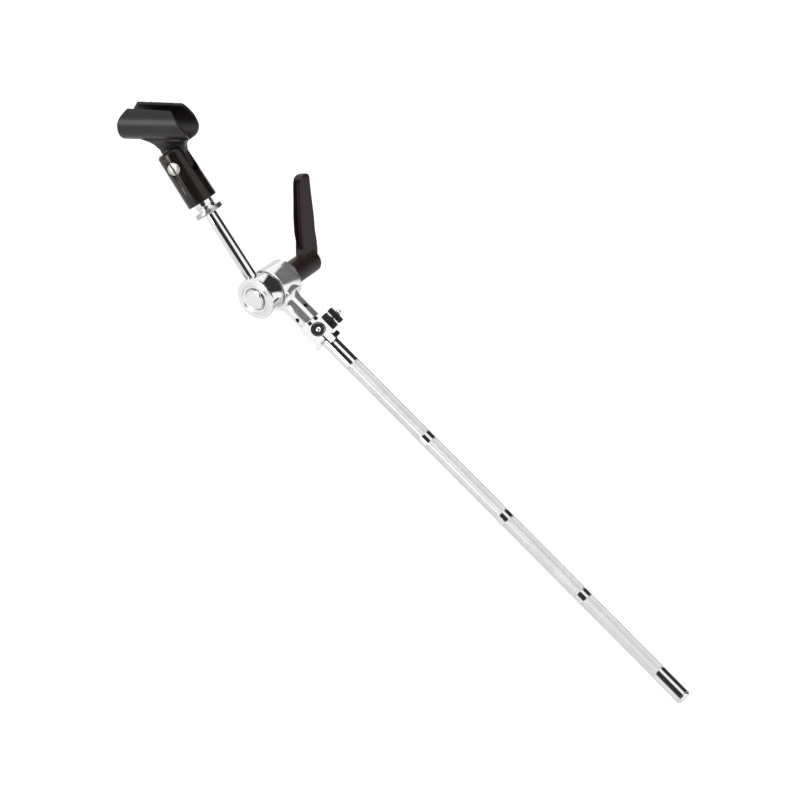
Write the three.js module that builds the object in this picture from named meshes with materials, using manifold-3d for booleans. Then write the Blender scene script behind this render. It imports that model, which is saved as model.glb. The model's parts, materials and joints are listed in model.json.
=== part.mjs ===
// Microphone boom arm: knurled chrome tube, tilter with a ratchet lever, memory lock and microphone clip.
// Millimetres, +Z up. The origin is the centre of the tube's free end. +X runs along the tube from the
// tilter to that end, and the tilter's cap faces -Y.
import * as THREE from 'three';
import { mergeVertices } from 'three/addons/utils/BufferGeometryUtils.js';
import Module from 'manifold-3d';

const wasm = await Module();
wasm.setup();

const GAP = 0.3; // clearance between touching or turned pieces
const ROUND = 28; // sides of a large turned piece
const SMALL = 12; // sides of a small turned piece
const deg = THREE.MathUtils.degToRad;

// Boom tube
const HUB = -459; // x of the tilter's axis
const TUBE_R = 6.35;
const TUBE_WALL = 1.2;
const TUBE_START = 9.5; // from the tilter's axis
const PLUG_DEPTH = 14;
const KNURL_R = 6.0;
const KNURL_START = 88; // from the tilter's axis
const KNURL_LENGTH = 79.8;
const BAND_LENGTH = 7.4; // smooth band between two knurled zones
const KNURL_ZONES = 4;
const END_ROUND = 2.4;
const ARC_STEPS = 5; // straight steps in a rounded edge

// Tilter, with places measured along Y from the tube's axis
const CAP_FRONT = -26.5;
const CAP_BACK = -23.5;
const CAP_R = 17.1;
const SEAM = -9.5; // plane where the two halves meet
const TILTER_R = 16.1;
const REAR_R = 17.3;
const REAR_END = 13.5;
const RECEIVER_R = 9.25;
const RECEIVER_END = 41; // from the tilter's axis
const RECEIVER_FLARE = 3;
const EDGE = 0.8; // chamfer on the castings' edges
const SOCKET_REACH = 25; // how far the rod's socket runs from the tilter's axis
const STUD_R = 3;
const STUD_HEAD_R = 6.5;
const STUD_HEAD_FRONT = -22.9;
const STUD_HEAD_BACK = -19.8;
const THREAD_R = 2.4; // threaded hole in the stud, for the lever's screw
const THREAD_START = 26;
const DISC_R = 12;
const DISC_HALF = 0.9;
const SPRING_SEAT = 9; // floor of the rear half's recess
const SPRING_SEAT_R = 8.6;
const SPRING_OUTER_R = 8.2;
const SPRING_INNER_R = 3.6;
const SPRING_THICKNESS = 1;
const SPRING_RISE = 1; // height of the cone
const THRUST_START = 11.6;
const THRUST_END = 15.2;
const SET_SCREW_R = 1.6;
const SET_SCREW_SOCKET_R = 0.8;
const SET_SCREW_INSET = 0.5;
const SET_SCREWS = [{ name: 'receiver_screw_top', x: 29.5 }, { name: 'receiver_screw_front', x: 33.5 }];

// Cap: [radius, height above the cap's front plane] from the disc's seat to the rim
const CAP_RINGS = [[6, -1.4], [9, -1.4], [9.6, -0.4], [11.8, -0.4], [12.2, 0.6], [13.4, 0.6], [13.8, -0.3]];
const CAP_DISC = [[7.4, 1.6], [8.2, 0.8], [8.2, -1.1], [5.7, -1.1]];

// Lever
const BOSS_R = 9.65;
const BOSS_FRONT = 17.5;
const BOSS_END = 52;
const SHOULDER_FRONT = 27;
const SHOULDER_BACK = 31;
const BOSS_ROUND = 4;
const BOSS_BORE_R = 5.5; // room for the spring and the screw's head
const INSERT_R = 7.9;
const INSERT_START = 15.5;
const SERRATION_R = 7.5;
const SERRATION_DEPTH = 0.5;
const SERRATIONS = 24;
const STUD_END = 34;
const LEVER_SCREW_START = 28;
const LEVER_SCREW_R = 2.1;
const LEVER_HEAD_R = 5;
const LEVER_HEAD_HEIGHT = 2.6;
const LEVER_SOCKET = 4; // across flats
const LEVER_SOCKET_FLOOR = 1.2; // above the underside of the head
const SCREW_HEAD_Y = 44;
const COIL_R = 4.05;
const WIRE_R = 0.45;
const COILS = 3.5;
const COIL_STEPS = 42;
const WIRE_SEGMENTS = 3;
const LEVER_ANGLE = 138.5; // from +X towards +Z
const LEVER_LEAN = 17; // away from the plane across the axis
const LEVER_REACH = 71;
const LEVER_ROOT_DEPTH = 19;
const LEVER_TIP_DEPTH = 9.5;
const LEVER_WIDTH = 7.4;

// Upper rod, with places measured along the rod from the tilter's axis
const ROD_Y = -16.5;
const ROD_TILT = -72.7; // from +Z towards -X
const ROD_R = 5;
const ROD_START = 8.5;
const ROD_END = 91;
const ROD_EDGE = 0.6;
const PIN_AT = 12.5;
const PIN_R = 1.2;
const PIN_FRONT = -6; // along Y from the rod's axis
const PIN_BACK = 5.5;
const RING_AT = 77.5;
const RING_R = 11.7;
const RING_HALF = 2.1;
const RING_RIDGES = 40;
const RING_RIDGE_DEPTH = 0.4;
const ADAPTER_START = 75.7;
const ADAPTER_END = 100;
const ADAPTER_R = 8.3;
const ADAPTER_FLATS = 15.6; // across flats

// Microphone clip
const BASE_START = 86.5;
const BASE_END = 134;
const BASE_LOW_R = 12.6;
const BASE_TOP_R = 11.9;
const BASE_ROUND = 2.5;
const BASE_LIP = 0.6;
const BASE_BORE_R = 10.6;
const BASE_BORE_END = 104;
const INSERT_OUTER_R = 10.3;
const INSERT_END = 103;
const BASE_SPIN = 15.6;
const PIVOT_AT = 120;
const SLOT_HALF = 4.8;
const SLOT_PLAY = 0.6; // between the tongue and the slot's round bottom
const SLOT_SIDE = 9.8; // below the pivot, where the slot opens to both sides for the neck
const TONGUE_HALF = 3.6;
const TONGUE_R = 11;
const PIVOT_HOLE_R = 2.8;
const PIVOT_SCREW_R = 2.5;
const SCREW_HEAD_R = 5.45;
const SCREW_FACE = -12.3;
const SCREW_EDGE = 0.5;
const SCREW_SLOT_HALF = 0.6;
const SCREW_SLOT_DEPTH = 1.1;
const HEAD_SEAT = 9.3; // floors of the head's and the nut's recesses, from the clip's axis
const HEAD_PLAY = 0.7;
const NUT_FLATS = 8.4;
const NUT_OUTER = 12.2;
const NUT_RECESS_R = 5.3;
const WASHER_INNER_R = 2.9;
const WASHER_OUTER_R = 6;
const CLIP_TILT = 29.4;
const CRADLE_HEIGHT = 36.6; // from the pivot to the cradle's axis
const CRADLE_R = 15.7;
const CRADLE_WALL = 2.5;
const CRADLE_OPEN = 42; // half angle of the opening
const CRADLE_TOP = 12; // from the cradle's axis
const CRADLE_REAR = -43.4;
const CRADLE_REAR_TOP = -34.5;
const CRADLE_FRONT_TOP = 2.5;
const CRADLE_FRONT = 15;
const CRADLE_FRONT_BOTTOM = 9;
const NECK_FRONT = 6.6; // the neck where it leaves the tongue
const NECK_RISE = 12;
const NECK_BACK = -11;
const NECK_BACK_RISE = 9;
const NECK_BEND = -15;
const NECK_FOOT_FRONT = 9; // the neck where it meets the cradle
const NECK_FOOT_BACK = -27;

// Memory lock, in its own frame: X along the tube, -Y to its front face, +Z to its thumb nut
const LOCK_AT = 50.6; // from the tilter's axis
const LOCK_ROLL = -46;
const LOCK_HALF = 9.2;
const LOCK_BORE_R = TUBE_R + GAP;
const LOCK_TOP = 8;
const LOCK_BOTTOM = -12.2;
const LOCK_DEPTH = 9.5; // behind the tube's axis
const LOCK_FRONT = 7.9; // in front of it at the top
const LOCK_LEAN = 14; // how the front face leans outwards towards the bottom
const LOCK_CORNER = 6;
const LOCK_SLIT = 4; // where the clamping slit starts, behind the bore
const LOCK_SLIT_HALF = 0.5;
const GRIP_SEAT = -7.9;
const GRIP_SEAT_R = 5.9;
const GRIP_HEAD_R = 5.2;
const GRIP_HEAD_FRONT = -10;
const GRIP_R = 2.2;
const GRIP_TIP = -6.9;
const GRIP_ROUND = 1.2;
const NOTCH_FLOORS = [-3, 3.2];
const NOTCH_HEIGHT = 3;
const NOTCH_LENGTH = 2.9;
const NOTCH_BACK = -5;
const THUMB_R = 2.3;
const THUMB_START = 6.9;
const THUMB_END = 23;
const NUT_R = 6.8;
const NUT_RIDGES = 30;
const NUT_RIDGE_DEPTH = 0.3;
const THUMB_NUT_END = 13.9;
const LOCK_WASHER_R = 6.4;
const LOCK_WASHER_END = 14.9;
const JAM_NUT_END = 19.6;
const LUG_HALF = 2; // half its thickness
const LUG_OVERLAP = 4;
const KEY_R = 1.6;
const KEY_START = 1.2;
const KEY_FLANGE_R = 2.8;
const KEY_FLANGE = 1;
const KEY_HALF = 1.8; // half across the square
const KEY_HEIGHT = 5;
const KEY_X = LOCK_HALF + 3.3;
const KEY_Y = -9;
const LUG_TOP = 4.9;
const PAST = 1; // how far a cutting tool runs past the surface
const FAR = 20; // past any face of the castings and the clip

const satinChrome = () => new THREE.MeshStandardMaterial({ color: 0xd0d0d2, roughness: 0.22, metalness: 1 });
const chrome = () => new THREE.MeshStandardMaterial({ color: 0xe6e6e8, roughness: 0.06, metalness: 1 });
const knurledChrome = () => new THREE.MeshStandardMaterial({ color: 0xd8d8da, roughness: 0.3, metalness: 1 });
const nickel = () => new THREE.MeshStandardMaterial({ color: 0xcfcbc4, roughness: 0.3, metalness: 1 });
const steel = () => new THREE.MeshStandardMaterial({ color: 0x9a9a9c, roughness: 0.4, metalness: 1 });
const brass = () => new THREE.MeshStandardMaterial({ color: 0xb8964f, roughness: 0.35, metalness: 1 });
const blackSteel = () => new THREE.MeshStandardMaterial({ color: 0x252422, roughness: 0.35, metalness: 0.8 });
const mattePlastic = () => new THREE.MeshStandardMaterial({ color: 0x2a2624, roughness: 0.6, metalness: 0 });
const glossPlastic = () => new THREE.MeshStandardMaterial({ color: 0x171513, roughness: 0.3, metalness: 0 });

function solid(geometry) {
  const bare = geometry.clone();
  bare.deleteAttribute('normal');
  bare.deleteAttribute('uv');
  const merged = mergeVertices(bare, 1e-4);
  return new wasm.Manifold(new wasm.Mesh({
    numProp: 3,
    vertProperties: new Float32Array(merged.attributes.position.array),
    triVerts: new Uint32Array(merged.index.array),
  }));
}

function geometryOf(manifold) {
  const mesh = manifold.getMesh();
  const geometry = new THREE.BufferGeometry();
  geometry.setAttribute('position', new THREE.BufferAttribute(new Float32Array(mesh.vertProperties), 3));
  geometry.setIndex(new THREE.BufferAttribute(new Uint32Array(mesh.triVerts), 1));
  geometry.computeVertexNormals();
  return geometry;
}

// Points are [radius, place along the axis]. They run up the outside, and down a bore if there is one.
function turned(points, axis = 'y', sides = ROUND) {
  const geometry = new THREE.LatheGeometry(points.map(([r, at]) => new THREE.Vector2(r, at)), sides);
  if (axis === 'x') geometry.rotateZ(-Math.PI / 2);
  if (axis === 'z') geometry.rotateX(Math.PI / 2);
  return solid(geometry);
}

function rod(radius, from, to, axis = 'y', sides = SMALL) {
  return turned([[0, from], [radius, from], [radius, to], [0, to]], axis, sides);
}

function sleeve(inner, outer, from, to, axis = 'y', sides = ROUND) {
  return turned([[inner, from], [outer, from], [outer, to], [inner, to], [inner, from]], axis, sides);
}

function block(x0, x1, y0, y1, z0, z1) {
  const geometry = new THREE.BoxGeometry(x1 - x0, y1 - y0, z1 - z0);
  return solid(geometry.translate((x0 + x1) / 2, (y0 + y1) / 2, (z0 + z1) / 2));
}

function prism(shape, from, to, steps = 12) {
  const options = { depth: to - from, bevelEnabled: false, curveSegments: steps };
  const geometry = new THREE.ExtrudeGeometry(shape, options);
  return geometry.translate(0, 0, from);
}

// Outline with alternating radii, for knurled and serrated edges.
function ridgedOutline(radius, depth, ridges) {
  const shape = new THREE.Shape();
  for (let i = 0; i < 2 * ridges; i += 1) {
    const r = i % 2 ? radius - depth : radius;
    const angle = (i * Math.PI) / ridges;
    if (i === 0) shape.moveTo(r, 0);
    else shape.lineTo(r * Math.cos(angle), r * Math.sin(angle));
  }
  shape.closePath();
  return shape;
}

function hexOutline(acrossFlats) {
  const shape = new THREE.Shape();
  const corner = acrossFlats / Math.sqrt(3);
  for (let i = 0; i < 6; i += 1) {
    const point = [corner * Math.cos((i * Math.PI) / 3), corner * Math.sin((i * Math.PI) / 3)];
    if (i === 0) shape.moveTo(...point);
    else shape.lineTo(...point);
  }
  shape.closePath();
  return shape;
}

function piece(parent, name, manifold, material) {
  const mesh = new THREE.Mesh(geometryOf(manifold), material);
  mesh.name = name;
  parent.add(mesh);
}

function boomTube() {
  const outline = [[TUBE_R - TUBE_WALL, HUB + TUBE_START], [TUBE_R, HUB + TUBE_START]];
  for (let i = 0; i < KNURL_ZONES; i += 1) {
    const from = HUB + KNURL_START + i * (KNURL_LENGTH + BAND_LENGTH);
    outline.push([TUBE_R, from], [KNURL_R, from + GAP]);
    outline.push([KNURL_R, from + KNURL_LENGTH - GAP], [TUBE_R, from + KNURL_LENGTH]);
  }
  const end = -END_ROUND - GAP;
  outline.push([TUBE_R, end], [TUBE_R - TUBE_WALL, end], outline[0]);
  return turned(outline, 'x');
}

function endPlug() {
  const inner = TUBE_R - TUBE_WALL - GAP;
  const outline = [[0, -PLUG_DEPTH], [inner, -PLUG_DEPTH], [inner, -END_ROUND], [TUBE_R, -END_ROUND]];
  for (let i = 1; i <= ARC_STEPS; i += 1) {
    const angle = (i / ARC_STEPS) * (Math.PI / 2);
    const drop = END_ROUND * (1 - Math.cos(angle));
    outline.push([TUBE_R - drop, -END_ROUND + END_ROUND * Math.sin(angle)]);
  }
  outline.push([0, 0]);
  return turned(outline, 'x');
}

function setScrewHole(radius, from, to, index) {
  const hole = rod(radius, from, to, index === 0 ? 'z' : 'y', SMALL);
  return hole.translate([SET_SCREWS[index].x, 0, 0]);
}

function receiverBody() {
  let body = turned([
    [0, SEAM + GAP], [REAR_R, SEAM + GAP], [REAR_R, REAR_END - EDGE], [REAR_R - EDGE, REAR_END], [0, REAR_END],
  ]);
  const arm = turned([
    [0, 0], [RECEIVER_R + RECEIVER_FLARE, 0], [RECEIVER_R + RECEIVER_FLARE, REAR_R - RECEIVER_FLARE],
    [RECEIVER_R, REAR_R + RECEIVER_FLARE], [RECEIVER_R, RECEIVER_END - EDGE], [RECEIVER_R - EDGE, RECEIVER_END],
    [0, RECEIVER_END],
  ], 'x');
  body = body.add(arm.intersect(block(0, RECEIVER_END, SEAM + GAP, REAR_END, -FAR, FAR)));
  body = body.subtract(rod(TUBE_R + GAP, TUBE_START - PAST, RECEIVER_END + PAST, 'x', ROUND));
  body = body.subtract(rod(STUD_R + GAP, SEAM - PAST, REAR_END + PAST));
  body = body.subtract(rod(DISC_R + GAP, SEAM - PAST, SEAM + DISC_HALF + GAP, 'y', ROUND));
  body = body.subtract(rod(SPRING_SEAT_R, SPRING_SEAT, REAR_END + PAST, 'y', ROUND));
  body = body.subtract(setScrewHole(SET_SCREW_R + GAP, TUBE_R, RECEIVER_R + PAST, 0));
  return body.subtract(setScrewHole(SET_SCREW_R + GAP, -RECEIVER_R - PAST, -TUBE_R, 1));
}

// The first set screw points down onto the tube and the second one points backwards.
function setScrew(index) {
  const inner = TUBE_R + GAP;
  const outer = RECEIVER_R - SET_SCREW_INSET;
  const ends = index === 0 ? [inner, outer] : [-outer, -inner];
  const face = index === 0 ? outer : -outer;
  const socket = setScrewHole(SET_SCREW_SOCKET_R, face - PAST, face + PAST, index);
  return setScrewHole(SET_SCREW_R, ...ends, index).subtract(socket);
}

function tilterBody() {
  let body = turned([
    [0, CAP_BACK + GAP], [TILTER_R - EDGE, CAP_BACK + GAP], [TILTER_R, CAP_BACK + GAP + EDGE],
    [TILTER_R, SEAM - GAP], [0, SEAM - GAP],
  ]);
  body = body.subtract(rod(STUD_R + GAP, CAP_BACK, SEAM));
  body = body.subtract(rod(STUD_HEAD_R + 2 * GAP, CAP_BACK, STUD_HEAD_BACK + GAP));
  body = body.subtract(rod(DISC_R + GAP, SEAM - DISC_HALF - GAP, SEAM, 'y', ROUND));
  const socket = rod(ROD_R + GAP, ROD_START - GAP, SOCKET_REACH, 'z', ROUND);
  const pinHoleEnd = SEAM - DISC_HALF - 2 * GAP - ROD_Y;
  const pinHole = rod(PIN_R + GAP, CAP_BACK - ROD_Y, pinHoleEnd).translate([0, 0, PIN_AT]);
  return body.subtract(socket.add(pinHole).rotate([0, ROD_TILT, 0]).translate([0, ROD_Y, 0]));
}

// Turns a list of [radius, height above the cap's front plane] into one of [radius, place along Y].
function onCap(rings) {
  return rings.map(([radius, height]) => [radius, CAP_FRONT - height]);
}

function hubCap() {
  const rings = onCap(CAP_RINGS);
  const [rimRadius, rimFront] = rings[rings.length - 1];
  const rim = [[rimRadius, rimFront], [CAP_R - EDGE, rimFront], [CAP_R, rimFront + EDGE], [CAP_R, CAP_BACK]];
  const bore = rings[0][0];
  return turned([[bore, CAP_BACK], ...rings, ...rim.slice(1), [bore, CAP_BACK]]);
}

function capDisc() {
  const rings = onCap(CAP_DISC);
  const [[, front]] = rings;
  const shank = rings[rings.length - 1][0];
  return turned([[0, front], ...rings, [shank, CAP_BACK], [0, CAP_BACK]]);
}

function tensionStud() {
  return turned([
    [0, STUD_HEAD_FRONT], [STUD_HEAD_R, STUD_HEAD_FRONT], [STUD_HEAD_R, STUD_HEAD_BACK],
    [STUD_R, STUD_HEAD_BACK], [STUD_R, STUD_END],
    [THREAD_R, STUD_END], [THREAD_R, THREAD_START], [0, THREAD_START],
  ], 'y', SMALL);
}

// Conical disc spring between the rear half and the thrust washer.
function springWasher() {
  const start = SPRING_SEAT + GAP;
  return turned([
    [SPRING_INNER_R, start + SPRING_RISE], [SPRING_OUTER_R, start], [SPRING_OUTER_R, start + SPRING_THICKNESS],
    [SPRING_INNER_R, start + SPRING_RISE + SPRING_THICKNESS], [SPRING_INNER_R, start + SPRING_RISE],
  ]);
}

// Metal core of the lever. Its serrations engage the stud's, and the lever lifts off them against a spring.
function leverInsert() {
  const outline = ridgedOutline(SERRATION_R, SERRATION_DEPTH, SERRATIONS);
  const serrated = solid(prism(outline, BOSS_FRONT + PAST, SHOULDER_FRONT - GAP).rotateX(-Math.PI / 2));
  return serrated.add(rod(INSERT_R, INSERT_START, BOSS_FRONT + PAST, 'y', ROUND))
    .subtract(rod(STUD_R + GAP, INSERT_START - PAST, SHOULDER_FRONT + PAST));
}

function leverScrew() {
  const top = SCREW_HEAD_Y + LEVER_HEAD_HEIGHT;
  const screw = turned([
    [0, LEVER_SCREW_START], [LEVER_SCREW_R, LEVER_SCREW_START], [LEVER_SCREW_R, SCREW_HEAD_Y],
    [LEVER_HEAD_R, SCREW_HEAD_Y], [LEVER_HEAD_R, top - SCREW_EDGE], [LEVER_HEAD_R - SCREW_EDGE, top], [0, top],
  ], 'y', SMALL);
  const socket = prism(hexOutline(LEVER_SOCKET), SCREW_HEAD_Y + LEVER_SOCKET_FLOOR, top + PAST);
  return screw.subtract(solid(socket.rotateX(-Math.PI / 2)));
}

class Helix extends THREE.Curve {
  constructor(radius, from, to, turns) {
    super();
    Object.assign(this, { radius, from, to, turns });
  }

  getPoint(t) {
    const angle = t * this.turns * 2 * Math.PI;
    const along = this.from + (this.to - this.from) * t;
    return new THREE.Vector3(this.radius * Math.cos(angle), along, this.radius * Math.sin(angle));
  }
}

function leverSpring() {
  const wire = new THREE.Shape();
  wire.absarc(0, 0, WIRE_R, 0, 2 * Math.PI);
  const room = WIRE_R + GAP;
  const path = new Helix(COIL_R, SHOULDER_BACK + room, SCREW_HEAD_Y - room, COILS);
  return solid(new THREE.ExtrudeGeometry(wire, {
    steps: COIL_STEPS, curveSegments: WIRE_SEGMENTS, extrudePath: path,
  }));
}

// Blade of the lever in its own plane: x outwards from the boss, y along the boss's axis.
function leverBlade() {
  const lean = Math.tan(deg(LEVER_LEAN));
  const middle = BOSS_END - LEVER_ROOT_DEPTH / 2;
  const reach = LEVER_REACH * Math.cos(deg(LEVER_LEAN));
  const edgeAt = (x, side) => {
    const depth = LEVER_ROOT_DEPTH + (LEVER_TIP_DEPTH - LEVER_ROOT_DEPTH) * (x / reach);
    return middle + lean * x + (side * depth) / 2;
  };
  const shape = new THREE.Shape();
  const tip = reach - LEVER_TIP_DEPTH / 2;
  shape.moveTo(0, edgeAt(0, -1));
  shape.lineTo(tip, edgeAt(tip, -1));
  shape.bezierCurveTo(reach, edgeAt(reach, -1), reach, edgeAt(reach, 1), tip, edgeAt(tip, 1));
  shape.lineTo(BOSS_R, edgeAt(BOSS_R, 1));
  shape.lineTo(0, BOSS_END);
  shape.closePath();
  return solid(prism(shape, -LEVER_WIDTH / 2, LEVER_WIDTH / 2, ARC_STEPS));
}

function leverHandle() {
  const outline = [[0, BOSS_FRONT], [BOSS_R, BOSS_FRONT]];
  for (let i = 0; i <= ARC_STEPS; i += 1) {
    const angle = (i / ARC_STEPS) * (Math.PI / 2);
    const drop = BOSS_ROUND * (1 - Math.cos(angle));
    outline.push([BOSS_R - drop, BOSS_END - BOSS_ROUND * (1 - Math.sin(angle))]);
  }
  outline.push([0, BOSS_END]);
  let body = turned(outline).add(leverBlade().rotate([0, -LEVER_ANGLE, 0]));
  body = body.subtract(rod(INSERT_R + GAP, BOSS_FRONT - PAST, SHOULDER_FRONT, 'y', ROUND));
  body = body.subtract(rod(STUD_R + 2 * GAP, BOSS_FRONT, BOSS_END));
  return body.subtract(rod(BOSS_BORE_R, SHOULDER_BACK, BOSS_END + PAST));
}

function upperRod() {
  const body = turned([
    [0, ROD_START], [ROD_R, ROD_START], [ROD_R, ROD_END - ROD_EDGE], [ROD_R - ROD_EDGE, ROD_END], [0, ROD_END],
  ], 'z');
  return body.subtract(rod(PIN_R + GAP, -ROD_R - PAST, ROD_R + PAST).translate([0, 0, PIN_AT]));
}

function threadAdapter() {
  const body = rod(ADAPTER_R, ADAPTER_START, ADAPTER_END, 'z', ROUND);
  const flats = solid(prism(hexOutline(ADAPTER_FLATS), ADAPTER_START, ADAPTER_END));
  return body.intersect(flats).subtract(rod(ROD_R + GAP, ADAPTER_START - PAST, ROD_END + GAP, 'z', ROUND));
}

function lockRing() {
  const outline = ridgedOutline(RING_R, RING_RIDGE_DEPTH, RING_RIDGES);
  const ring = solid(prism(outline, RING_AT - RING_HALF, RING_AT + RING_HALF));
  return ring.subtract(rod(ADAPTER_R + GAP, RING_AT - RING_R, RING_AT + RING_R, 'z', ROUND));
}

function clipBase() {
  const outline = [[0, BASE_START], [BASE_LOW_R - BASE_LIP, BASE_START], [BASE_LOW_R, BASE_START + BASE_LIP]];
  for (let i = 0; i <= ARC_STEPS; i += 1) {
    const angle = (i / ARC_STEPS) * (Math.PI / 2);
    const drop = BASE_ROUND * (1 - Math.cos(angle));
    outline.push([BASE_TOP_R - drop, BASE_END - BASE_ROUND * (1 - Math.sin(angle))]);
  }
  outline.push([0, BASE_END]);
  let body = turned(outline, 'z');
  body = body.subtract(rod(BASE_BORE_R, BASE_START - PAST, BASE_BORE_END, 'z', ROUND));
  body = body.subtract(block(-FAR, FAR, -SLOT_HALF, SLOT_HALF, PIVOT_AT - SLOT_SIDE, BASE_END + PAST));
  const across = (radius, from, to) => rod(radius, from, to, 'y', ROUND).translate([0, 0, PIVOT_AT]);
  body = body.subtract(across(TONGUE_R + SLOT_PLAY, -SLOT_HALF, SLOT_HALF));
  body = body.subtract(across(PIVOT_HOLE_R, -FAR, FAR));
  body = body.subtract(across(SCREW_HEAD_R + HEAD_PLAY, -FAR, -HEAD_SEAT));
  return body.subtract(across(NUT_RECESS_R, HEAD_SEAT, FAR));
}

function pivotScrew() {
  const seat = -HEAD_SEAT - GAP;
  const end = NUT_OUTER - GAP;
  const screw = turned([
    [0, SCREW_FACE], [SCREW_HEAD_R - SCREW_EDGE, SCREW_FACE], [SCREW_HEAD_R, SCREW_FACE + SCREW_EDGE],
    [SCREW_HEAD_R, seat], [PIVOT_SCREW_R, seat], [PIVOT_SCREW_R, end], [0, end],
  ], 'y', ROUND);
  const slot = block(-SCREW_SLOT_HALF, SCREW_SLOT_HALF, SCREW_FACE - PAST, SCREW_FACE + SCREW_SLOT_DEPTH,
    -SCREW_HEAD_R - PAST, SCREW_HEAD_R + PAST);
  return screw.subtract(slot).translate([0, 0, PIVOT_AT]);
}

function pivotNut() {
  const nut = solid(prism(hexOutline(NUT_FLATS), -NUT_OUTER, -HEAD_SEAT - GAP).rotateX(Math.PI / 2));
  return nut.subtract(rod(PIVOT_HOLE_R, 0, FAR)).translate([0, 0, PIVOT_AT]);
}

// In the cradle's own frame: origin on the pivot, X along the microphone, +Z through the opening.
function clipCradle() {
  const section = new THREE.Shape();
  const from = deg(90 + CRADLE_OPEN);
  const to = deg(450 - CRADLE_OPEN);
  section.absarc(0, 0, CRADLE_R, from, to, false);
  section.absarc(0, 0, CRADLE_R - CRADLE_WALL, to, from, true);
  section.closePath();
  // The section lies across X: shape x goes to Y and shape y goes to Z.
  const shell = prism(section, CRADLE_REAR - PAST, CRADLE_FRONT + PAST, ROUND);
  shell.rotateX(Math.PI / 2).rotateZ(Math.PI / 2);
  const under = -CRADLE_R - PAST;
  const side = new THREE.Shape();
  side.moveTo(CRADLE_REAR, under);
  side.quadraticCurveTo(CRADLE_REAR, 0, CRADLE_REAR_TOP, CRADLE_TOP);
  side.lineTo(CRADLE_FRONT_TOP, CRADLE_TOP);
  side.quadraticCurveTo(CRADLE_FRONT, -CRADLE_FRONT_TOP, CRADLE_FRONT, -CRADLE_TOP);
  side.quadraticCurveTo(CRADLE_FRONT, under, CRADLE_FRONT_BOTTOM, under);
  side.closePath();
  const trimmed = solid(shell).intersect(solid(prism(side, -FAR, FAR, 2 * ARC_STEPS).rotateX(Math.PI / 2)))
    .translate([0, 0, CRADLE_HEIGHT]);
  const neck = new THREE.Shape();
  const foot = CRADLE_HEIGHT - CRADLE_R + PAST;
  neck.absarc(0, 0, TONGUE_R, Math.PI, 2 * Math.PI, false);
  neck.lineTo(NECK_FRONT, NECK_RISE);
  neck.quadraticCurveTo(NECK_FRONT, foot, NECK_FOOT_FRONT, foot);
  neck.lineTo(NECK_FOOT_BACK, foot);
  neck.quadraticCurveTo(NECK_BEND, foot - TONGUE_HALF, NECK_BACK, NECK_BACK_RISE);
  neck.closePath();
  const tongue = solid(prism(neck, -TONGUE_HALF, TONGUE_HALF, 2 * ARC_STEPS).rotateX(Math.PI / 2));
  return trimmed.add(tongue).subtract(rod(PIVOT_HOLE_R, -FAR, FAR));
}

function lockBody() {
  const outline = new THREE.Shape();
  const low = LOCK_BOTTOM + LOCK_CORNER;
  const front = -LOCK_FRONT - (LOCK_TOP - low) * Math.tan(deg(LOCK_LEAN));
  outline.moveTo(front, low);
  outline.quadraticCurveTo(front, LOCK_BOTTOM, front + LOCK_CORNER, LOCK_BOTTOM);
  outline.lineTo(LOCK_DEPTH - LOCK_CORNER, LOCK_BOTTOM);
  outline.quadraticCurveTo(LOCK_DEPTH, LOCK_BOTTOM, LOCK_DEPTH, low);
  outline.lineTo(LOCK_DEPTH, LOCK_TOP);
  outline.lineTo(-LOCK_FRONT, LOCK_TOP);
  outline.closePath();
  const plain = prism(outline, -LOCK_HALF, LOCK_HALF, ARC_STEPS).rotateX(Math.PI / 2).rotateZ(Math.PI / 2);
  const lugEnd = KEY_X + KEY_R + PAST;
  const lug = block(LOCK_HALF - LUG_OVERLAP, lugEnd, KEY_Y - LUG_HALF, KEY_Y + LUG_HALF, 0, LUG_TOP);
  let body = solid(plain).add(lug);
  body = body.subtract(rod(LOCK_BORE_R, -FAR, FAR, 'x', ROUND));
  body = body.subtract(block(-FAR, FAR, LOCK_SLIT, FAR, -LOCK_SLIT_HALF, LOCK_SLIT_HALF));
  body = body.subtract(rod(GRIP_SEAT_R, -FAR, GRIP_SEAT, 'y', ROUND)).subtract(rod(GRIP_R + GAP, -FAR, 0));
  body = body.subtract(rod(THUMB_R + GAP, 0, FAR, 'z'));
  const notchEnd = -LOCK_HALF + NOTCH_LENGTH;
  for (const floor of NOTCH_FLOORS) {
    body = body.subtract(block(-LOCK_HALF - PAST, notchEnd, -FAR, NOTCH_BACK, floor, floor + NOTCH_HEIGHT));
  }
  return body.subtract(rod(KEY_R + GAP, -PAST, LUG_TOP + PAST, 'z').translate([KEY_X, KEY_Y, 0]));
}

function lockGripScrew() {
  const under = GRIP_SEAT - GAP;
  return turned([
    [0, GRIP_HEAD_FRONT], [GRIP_HEAD_R - GRIP_ROUND, GRIP_HEAD_FRONT],
    [GRIP_HEAD_R, GRIP_HEAD_FRONT + GRIP_ROUND], [GRIP_HEAD_R, under],
    [GRIP_R, under], [GRIP_R, GRIP_TIP], [0, GRIP_TIP],
  ], 'y', ROUND);
}

function lockThumbStud() {
  const outline = [[0, THUMB_START], [THUMB_R, THUMB_START]];
  for (let i = 0; i <= ARC_STEPS; i += 1) {
    const angle = (i / ARC_STEPS) * (Math.PI / 2);
    const radius = i === ARC_STEPS ? 0 : THUMB_R * Math.cos(angle);
    outline.push([radius, THUMB_END - THUMB_R * (1 - Math.sin(angle))]);
  }
  return turned(outline, 'z', SMALL);
}

function lockNut(from, to) {
  const nut = solid(prism(ridgedOutline(NUT_R, NUT_RIDGE_DEPTH, NUT_RIDGES), from, to));
  return nut.subtract(rod(THUMB_R + GAP, from - PAST, to + PAST, 'z'));
}

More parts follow.
